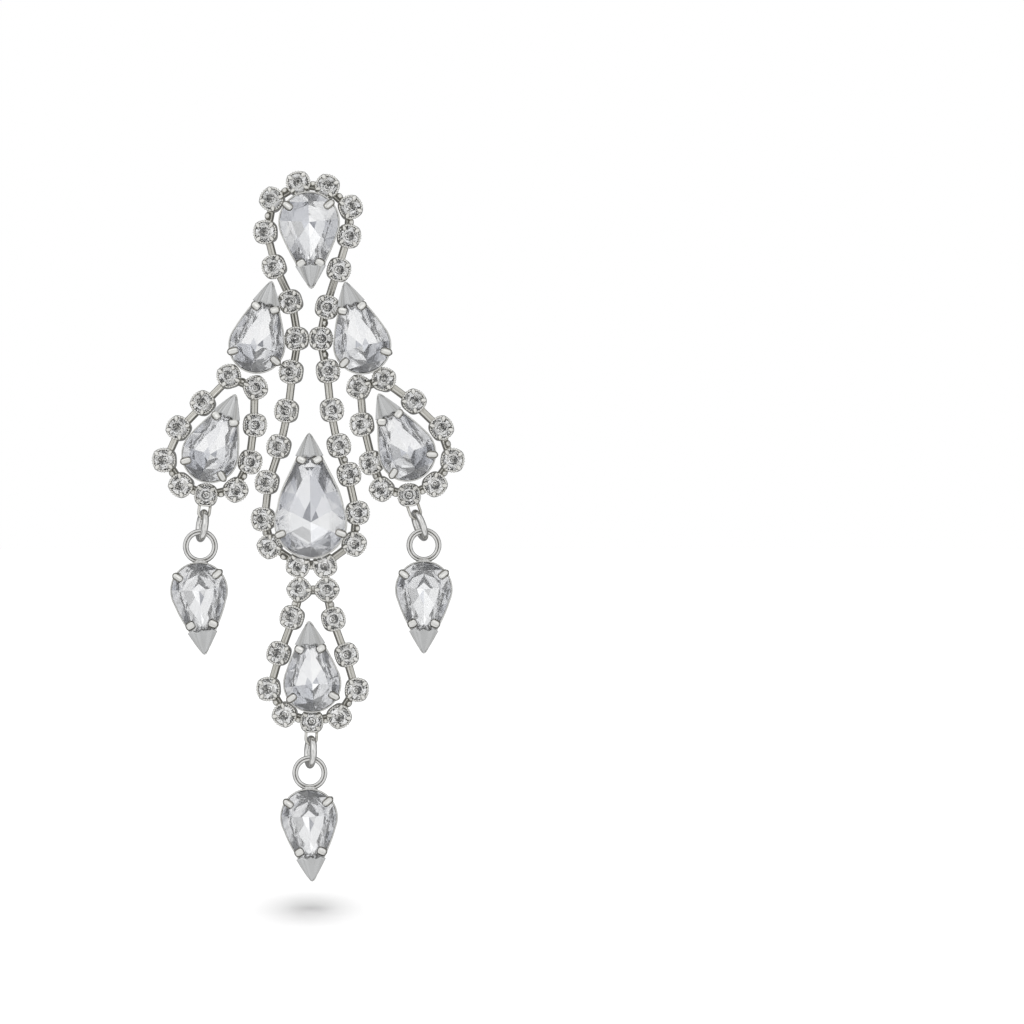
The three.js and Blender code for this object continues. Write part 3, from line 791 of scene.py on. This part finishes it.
# %% Basket and plate
def basket(pear, rim, back, slim, slimmer, collar):
    """The pear's outline times a share at each depth, on angles that crowd towards the point."""
    share, depth = np.array([
        (0.03, back), (slimmer - 0.05, back), (slimmer, back + 0.15), (slim, collar),
        (0.5 + slim / 2, collar + 0.12), (0.985, rim - RIM_HEIGHT - 0.1), (1, rim - RIM_HEIGHT),
        (1, rim - 0.3), (0.985, rim - 0.24), (0.985, rim - 0.18), (0.998, rim - 0.12),
        (0.996, rim - 0.03), (0.984, rim + 0.01), (0.972, rim - 0.04), (0.968, rim - 0.14),
        (0.962, rim - 0.06), (0.952, rim - 0.06), (0.948, rim - 0.35), (0.3, rim - STONE_BACK),
        (0.03, rim - STONE_BACK - 0.05),
    ]).T[:, :, None]
    angle = around(128)[None, :]
    angle = angle - 0.35 * np.sin(angle)
    return shell(polar(share * pear_edge(angle, *pear), angle, depth))


def flank_slope(pear):
    """How much half a pear's width grows for each millimetre away from the point."""
    radius, reach, swell = pear
    return radius / np.sqrt(reach**2 - radius**2)


def point_plate(pear, rim, fold):
    """The plate folded over the stone's point. Along it the half width shrinks to a blunt tip and
    the ridge comes down to the rim, and across it the two faces fall from the ridge like a roof,
    less a cosine, which gives folds that run together at the tip. Its end at the stone has shallow
    notches."""
    radius, reach, swell = pear
    along = np.linspace(0, 1, 14)[:, None]
    across = np.linspace(-1, 1, 25)[None, :]
    taper = 0.75 * (1 - along) + 0.25 * np.sqrt(1 - along**2)
    half = (taper * PLATE_LENGTH + 0.6 * TIP_BLUNT) * (flank_slope(pear) + 0.1 * swell) + 0.04
    notch = 0.3 * np.abs(np.sin(1.5 * np.pi * across)) * (1 - along) ** 2
    ridge = 0.66 - 0.46 * along
    height = 0.36 + 0.6 * ridge * (1 - np.sqrt(across**2 + 0.01))
    height = height - fold * np.cos(3 * np.pi * across) * (1 - 0.7 * along)
    up = reach - PLATE_LENGTH + (PLATE_LENGTH - 0.08 - 0.2 * across**2) * along + notch
    front = np.stack(np.broadcast_arrays(half * across, -(rim + 0.04 + height), up), -1)
    back = front.copy()
    back[..., 1] = -(rim - 0.3)
    return shell(np.concatenate([front, back[:, ::-1]], axis=1), finish=2)


# %% [markdown]
# Four flat claws stand outside the rim and bend over the stone's edge, two beside the point and two
# on the shoulders. Each is a tab swept along a bent path, on a wider foot in the dark metal of painted
# shade, which draws the dark line that a claw has round it.

# %% Claws
def claw(x, z, normal, rim, width=0.84, thick=0.26, grip=0.8):
    """A flat tab beside the stone: up outside the rim, a quarter turn over it and along the crown,
    on a lower and wider foot in the dark metal of painted shade. The normal is the angle at which the
    edge faces outwards."""
    outwards = np.array([np.sin(normal), 0, np.cos(normal)])
    bend = np.linspace(0, np.pi / 2, 8)
    radius, start = 0.3, 0.12
    arm = np.array([0.35, 0.7, 0.92, 1.0]) * grip
    out = np.concatenate([[start, start], start - radius * (1 - np.cos(bend)), start - radius - arm])
    up = np.concatenate([[-1.0, -0.3], 0.08 + radius * np.sin(bend), 0.08 + radius + 0.3 * arm])
    path = np.array([x, 0, z]) + out[:, None] * outwards + np.array([0, -1, 0]) * (rim + up)[:, None]
    wide = np.concatenate([[0.7, 0.72], np.linspace(0.74, 1, 8), [1.04, 0.98, 0.74, 0.32]])
    deep = np.concatenate([[1.2, 1.2], np.linspace(1.1, 1, 8), [1.0, 1.0, 0.95, 0.5]])
    across = np.cross(outwards, (0, 1, 0))
    # the foot: a lower, wider strip in finish 1, the dark metal of painted shade round the claw
    foot = path[2:] + 0.13 * np.linspace(-0.3, -1, 12)[:, None] * outwards + (0, 0.13, 0)
    return joined(
        sweep(path, across, width * wide, thick * deep, sides=16),
        sweep(foot, across, (width + 0.3) * wide[2:], 0.2 * deep[2:], sides=16, finish=1),
    )


def claw_places(pear, shoulder, from_point):
    """Beside the point, square to the flank, and on the shoulders, each pair mirrored."""
    radius, reach, swell = pear
    angle = np.radians(shoulder)
    flank = np.arccos(radius / reach)
    tip = from_point * flank_slope(pear), reach - from_point, flank
    side = radius * np.sin(angle), radius * np.cos(angle), angle
    return [(sign * x, z, sign * normal) for x, z, normal in (tip, side) for sign in (1, -1)]


def setting_metal(pear, rim, rows, shoulder, from_point, fold):
    """All the metal round one pear. The claws on the shoulders are slimmer and reach further in."""
    spots = claw_places(pear, shoulder, from_point)
    claws = [claw(*spot, rim) for spot in spots[:2]]
    claws += [claw(*spot, rim, width=0.68, grip=1.0) for spot in spots[2:]]
    return joined(basket(pear, rim, *rows), point_plate(pear, rim, fold), *claws)


def rim_painted_shade(rim):
    """Painted shade by depth from the rim: dark in the basket, little on the rim, dark on the sides of
    the claws and little on top.
    """
    heights = [-3, -2.6, -0.25, -0.12, 0.03, 0.12, 0.32, 0.46]
    painted_shade = [0.05, 0.4, 0.4, 0.1, 0.05, 0.75, 0.6, 0.12]
    return lambda points: np.interp(-points[:, 1] - rim, heights, painted_shade)


# %% [markdown]
# The pears are cut like the round stones, with fewer and larger main facets. Which facets are
# bright and which dark is painted reflection on the foil, given for each cut, so each kind of pear
# has its own two rows of painted reflections.

# %% Pears
# for each kind, the painted reflections of its main facets and of its culet, clockwise from the point
PEAR_PAINTED_REFLECTIONS = {
    "small": (
        (0.98, 0.62, 0.85, 0.3, 0.9, 0.66),
        (0.98, 0.16, 0.9, 0.3, 0.3, 0.72),
    ),
    "large": (
        (0.26, 0.5, 0.85, 0.62, 1.0, 0.9, 0.42, 0.6),
        (0.26, 0.1, 0.85, 0.62, 1.0, 0.9, 0.08, 0.2),
    ),
    "drop": (
        (1.0, 0.96, 0.74, 0.7, 0.96, 1.0),
        (1.0, 0.96, 0.8, 0.76, 0.96, 0.3),
    ),
}


def pear_stone(pear, kind, mirrored):
    """A stone that runs out to the thin lip of the rim, all round. Mirrored, its painted reflections
    run the other way."""
    radius, reach, swell = pear

    def edge(angle):
        return (1 - EDGE_WALL / radius) * pear_edge(angle, radius, reach, swell)

    painted_reflections, culet = (row[:: -1 if mirrored else 1] for row in PEAR_PAINTED_REFLECTIONS[kind])
    mains = len(painted_reflections)
    return cut_stone(edge, STONE_CROWN, FOIL_BACK, 2 * mains, mains, painted_reflections, culet, table=0.58)


def make_setting(name, surface, rim, body, nodes):
    # the basket, rim, claws and plate are darkened by painted shade, set by depth from the rim
    return make_piece(
        name, surface, [cast, painted_shade_metal, folded], body, nodes, painted_shade=rim_painted_shade(rim)
    )


def make_pear(name, surface, body, node, seed):
    return make_piece(name, surface, [glass, pear_foil], body, [node], seed=seed)


slim = 1 - BASKET_TUCK / PEAR_RADIUS
slimmer = slim - BASKET_TAPER / PEAR_RADIUS
basket_rows = CUP_BACK, slim, slimmer, COLLAR_START

for seed, (name, row) in enumerate(PEARS.items()):
    x, z, radius, reach, swell, turn, shoulder, from_point, kind = row
    pear = radius, reach, swell
    spot = turned(turn, x, 0, z)
    setting = setting_metal(pear, PEAR_RIM, basket_rows, shoulder, from_point, PLATE_FOLD)
    make_setting(f"{name}_setting_cast", placed(setting, spot), PEAR_RIM, "frame", [f"{name}_setting"])
    mirrored = turn < -10 or turn > 90
    stone = placed(pear_stone(pear, kind, mirrored), spot @ turned(0, depth=PEAR_RIM))
    make_pear(f"{name}_stone_cut", stone, "frame", f"{name}_stone", seed=20 + seed)

# %% [markdown]
# ## Drops
#
# Three pears hang point down. Their place comes from the frame: the round end is as wide as the
# stone's box and its top is the box's top, so the middle of the round end is one radius below it.
# The ring is two strands of wire, soldered to the basket by a short lug, and hangs in the lower bend
# of the link.

# %% Links and drops
def drop_spot(side, lean):
    """The matrix that puts a pear at the middle of its round end, point down."""
    low, high = (np.array(corner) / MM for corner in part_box(f"{side}_drop_stone"))
    radius = DROP_RADIUS - RIM_WALL
    back = -(low[1] + STONE_CROWN) - DROP_DEPTH
    return turned(180 - lean, (low[0] + high[0]) / 2, back, high[2] - radius)


inner_height = LINK_HEIGHT - 2 * LINK_WIRE
link_middle = inner_height / 2 - EYELET_WIRE / 2 - LINK_CLEARANCE
ring_drop = RING_DIAMETER / 2 - RING_WIRE - LINK_WIRE / 2 - LINK_CLEARANCE
drop_pear = DROP_RADIUS, DROP_REACH, DROP_BULGE
drop_rows = 0, 0.9, 1 - DROP_TUCK / DROP_RADIUS, DROP_DEPTH - RIM_HEIGHT - 0.5
drop_metal = setting_metal(
    drop_pear, DROP_DEPTH, drop_rows, DROP_CLAW_ANGLE, DROP_CLAW_FROM_POINT, DROP_FOLD
)
edge_on = np.array([[0, -1, 0, 0], [1, 0, 0, 0], [0, 0, 1, -link_middle], [0, 0, 0, 1]])
link = placed(loop(LINK_WIDTH, LINK_HEIGHT, LINK_WIRE), edge_on)
inner = RING_DIAMETER - RING_WIRE
strands = [loop(size, size, RING_WIRE / 2, 0.82 * RING_WIRE) for size in (RING_DIAMETER, inner)]
lug_path = np.outer(RING_DIAMETER / 2 + np.array([-0.5, -0.2, 0.5]), (0, 0, -1))
lug = sweep(lug_path, (1, 0, 0), [1.3, 1.9, 2.8], [0.7, 0.85, 0.9], sides=12)
ring = joined(*strands, lug)

for seed, (side, (chain, lean)) in enumerate(DROPS.items()):
    link_wire = placed(link, link_matrix(side))
    make_piece(f"{side}_link_wire", link_wire, [wire], f"{side}_link", [f"{side}_link"])

    spot = drop_spot(side, lean)
    rides, replaced = f"{side}_drop", [f"{side}_drop_setting"]
    rim_depth = DROP_DEPTH - spot[1, 3]
    setting = make_setting(f"{side}_drop_cast", placed(drop_metal, spot), rim_depth, rides, replaced)
    across, back, up = np.array(joint_named(f"{side}_drop_sway")["pos_m"]) / MM
    ring_wire = placed(ring, turned(0, across, -back, up - ring_drop))
    make_piece(f"{side}_drop_ring", ring_wire, [wire], rides, replaced)
    stone = placed(pear_stone(drop_pear, "drop", side == "right"), spot @ turned(0, depth=DROP_DEPTH))
    cut = make_pear(f"{side}_drop_stone_cut", stone, rides, f"{side}_drop_stone", seed=40 + seed)
    if side == "centre":
        lowest_drop = setting, cut

# %% [markdown]
# ## The post
#
# The post is turned: a pad against the ear and a pin with a small groove near its tip, where the
# ear nut clicks in. A lathe profile is a radius at each distance along the pin.

# %% Post and pad
def ear_post():
    """The lathe profile carried once round the pin."""
    pin, pad = POST_DIAMETER / 2, PAD_DIAMETER / 2
    profile = np.array([
        (0.1, -CUP_BACK), (pad - 0.5, -CUP_BACK), (pad - 0.4, -PAD_THICK), (pad - 0.08, -PAD_THICK),
        (pad, -PAD_THICK + 0.08), (pad, -0.08), (pad - 0.08, 0), (pin + 0.25, 0), (pin + 0.08, 0.06),
        (pin, 0.25), (pin, 8.1), (pin - 0.08, 8.25), (pin - 0.08, 8.55), (pin, 8.7),
        (pin, POST_LENGTH - 0.7), (pin - 0.1, POST_LENGTH - 0.3), (pin - 0.28, POST_LENGTH),
    ])
    radius, along = profile[:, 0, None], profile[:, 1, None]
    return shell(polar(radius, around(48)[None, :], -along))


make_piece("ear_post_turned", ear_post(), [wire], "frame", ["ear_post"])

# %% [markdown]
# ## Studio
#
# The photo has a white ground with one soft shadow just under the lowest point. So the floor is a
# pale sheet with one low soft step under the earring, which turns the shadow a little towards the
# camera. A soft sun and the white sky light it from above. The sun is for the floor alone, and only
# the lowest drop stands in its way.

# %% Floor, sky and sun
FLOOR_HEIGHT = -87.7


def stage_piece(name, grid, finish):
    """A piece of the studio, in metres."""
    points, faces = shell(grid)
    mesh = bpy.data.meshes.new(name)
    mesh.from_pydata(points.tolist(), [], sum((indices.tolist() for indices, *_ in faces), []))
    mesh.materials.append(finish)
    piece = bpy.data.objects.new(name, mesh)
    bpy.context.scene.collection.objects.link(piece)
    piece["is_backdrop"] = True
    return piece


def sheet(reach=6.0, rise=0.0042, width=0.014):
    """A thin sheet, level in front and behind. Under the earring it rises in one soft step. Its
    height there is the rise times the hyperbolic tangent of the distance back over the width."""
    far = np.linspace(0.05, 1, 20) * reach
    back = np.concatenate([-far[::-1], np.linspace(-0.07, 0.07, 71), far])
    height = rise * np.tanh(back / width)
    section = np.stack([0 * back, back, height + FLOOR_HEIGHT * MM], axis=1)
    ring = np.concatenate([section, section[::-1] - (0, 0, 0.01)])
    return ring + np.array([[-reach, 0, 0], [reach, 0, 0]])[:, None]


def pale_floor():
    recipe = Recipe("pale_floor")
    shade = recipe.noise(3)
    color = recipe.ramp(shade, (0.3, (0.206, 0.206, 0.206)), (0.7, (0.21, 0.21, 0.21)))
    return recipe.finish(Base_Color=color, Roughness=0.95, Specular_IOR_Level=0.0)


floor = stage_piece("floor", sheet(), pale_floor())
floor.visible_glossy = False

sky = bpy.data.worlds.new("sky")
sky.use_nodes = True
sky.node_tree.nodes["Background"].inputs["Color"].default_value = (1, 1, 1, 1)
sky.node_tree.nodes["Background"].inputs["Strength"].default_value = 1.0
bpy.context.scene.world = sky

sun_data = bpy.data.lights.new("soft_sun", "SUN")
sun_data.energy = 13.5
sun_data.angle = np.radians(50)
sun = bpy.data.objects.new("soft_sun", sun_data)
sun.visible_glossy = False
sun.visible_transmission = False
sun.light_linking.receiver_collection = bpy.data.collections.new("lit_by_the_sun")
sun.light_linking.receiver_collection.objects.link(floor)
sun.light_linking.blocker_collection = bpy.data.collections.new("shades_the_floor")
for piece in lowest_drop:
    sun.light_linking.blocker_collection.objects.link(piece)
bpy.context.scene.collection.objects.link(sun)
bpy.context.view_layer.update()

# %% [markdown]
# Polished metal and glass show what stands around them, not the light that falls on them. Jewellery
# is photographed in a tent of white silk with dark openings, which draw the dark lines along its
# edges. Here the tent is a large dome that only reflections see. It is white towards the front and
# fades to dark behind, and round panels make it lighter or darker. A panel faces one direction, and
# a point of the dome is in it where the cosine between its own direction and the panel's is near 1.
# A Map Range node with a smooth step turns that cosine into a panel with a soft edge.

# %% Light tent
def tent_finish():
    """The fade plus the sum of all panels, as the strength of the glow."""
    recipe = Recipe("tent_silk")
    direction = recipe.node("ShaderNodeVectorMath", {0: recipe.place()}, operation="NORMALIZE")

    def towards(x, y, z):
        unit = np.array([x, y, z]) / np.linalg.norm([x, y, z])
        values = {0: direction, 1: tuple(unit)}
        return recipe.node("ShaderNodeVectorMath", values, operation="DOT_PRODUCT", output="Value")

    def panel(x, y, z, spread, edge=3):
        limits = np.cos(np.radians([spread + edge, spread - edge]))
        values = {"Value": towards(x, y, z), "From Min": limits[0], "From Max": limits[1]}
        return recipe.node("ShaderNodeMapRange", values, interpolation_type="SMOOTHSTEP")

    fade = {"From Min": -0.25, "From Max": 0.35, "To Min": 0.26, "To Max": 0.98}
    fade["Value"] = towards(0, -1, 0.1)
    light = recipe.node("ShaderNodeMapRange", fade, interpolation_type="SMOOTHSTEP")
    # where each panel faces, its half angle in degrees and what it adds
    panels = [
        ((0, -1, 0), 12, -0.3), ((-0.5, -0.75, 0.45), 14, 0.4), ((0.5, -0.8, 0.2), 9, 0.3),
        ((-0.85, -0.45, -0.3), 12, -0.5), ((0.6, -0.6, -0.65), 11, -0.5), ((0.3, -0.75, 0.75), 9, -0.4),
        ((-0.35, -0.6, 0.9), 9, -0.3), ((0.85, -0.55, 0.25), 10, -0.45), ((-0.6, -0.85, 0.1), 6, -0.3),
        ((0.25, -0.9, -0.45), 8, -0.3), ((-0.2, -0.75, -0.7), 9, -0.2), ((-1, 0.15, 0.1), 9, 0.5),
        ((1, 0.15, 0.1), 9, 0.5),
    ]
    for facing, spread, strength in panels:
        light = light + strength * panel(*facing, spread)
    silk = {0: (0.99, 0.995, 1.0), "Scale": light}
    tent = recipe.finish(
        Base_Color=(0, 0, 0, 1),
        Roughness=1.0,
        Specular_IOR_Level=0.0,
        Emission_Color=recipe.node("ShaderNodeVectorMath", silk, operation="SCALE"),
        Emission_Strength=1.0,
    )
    tent.cycles.emission_sampling = "NONE"
    return tent


def light_tent(radius=2.0):
    """A globe by latitude and longitude, with a small flat face at each pole."""
    latitude = np.linspace(-np.pi / 2, np.pi / 2, 34)[1:-1, None]
    longitude = around(64)[None, :]
    grid = polar(np.cos(latitude), longitude, -np.sin(latitude)) * radius
    tent = stage_piece("light_tent", grid, tent_finish())
    tent.visible_camera = False
    tent.visible_diffuse = False
    tent.visible_shadow = False
    return tent


light_tent()

# %% [markdown]
# ## Camera
#
# The photo is taken straight on with a long lens, so the camera is level, far away and square to the
# earring. The photo shows 7.8 pixels to a millimetre, and the post sits at pixel (309, 222) of its
# 1024 by 1024 frame. From these the camera's place and lens follow.

# %% Camera
PIXELS = 1024
PIXELS_PER_MM = 7.8
POST_PIXEL = 309, 222
DISTANCE = 700

camera_data = bpy.data.cameras.new("camera")
camera_data.sensor_width = 36
camera_data.lens = camera_data.sensor_width * DISTANCE / (PIXELS / PIXELS_PER_MM)
camera_data.clip_end = 100
camera = bpy.data.objects.new("camera", camera_data)
camera.location = (
    (PIXELS / 2 - POST_PIXEL[0]) / PIXELS_PER_MM * MM,
    -(DISTANCE + PEAR_RIM) * MM,
    (POST_PIXEL[1] - PIXELS / 2) / PIXELS_PER_MM * MM,
)
camera.rotation_euler = (np.pi / 2, 0, 0)
bpy.context.scene.collection.objects.link(camera)
bpy.context.scene.camera = camera
bpy.context.scene.view_settings.view_transform = "Standard"
print("lens", round(camera_data.lens, 1), "mm, camera at", [round(value, 3) for value in camera.location])

# %% [markdown]
# The last cell sets the two boxes, the solid model's and the finished one's, side by side.

# %% Sizes and the end
boxes = {"cad": frame_box, "visual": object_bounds()}
boxes = {name: [[float(value) for value in corner] for corner in box] for name, box in boxes.items()}
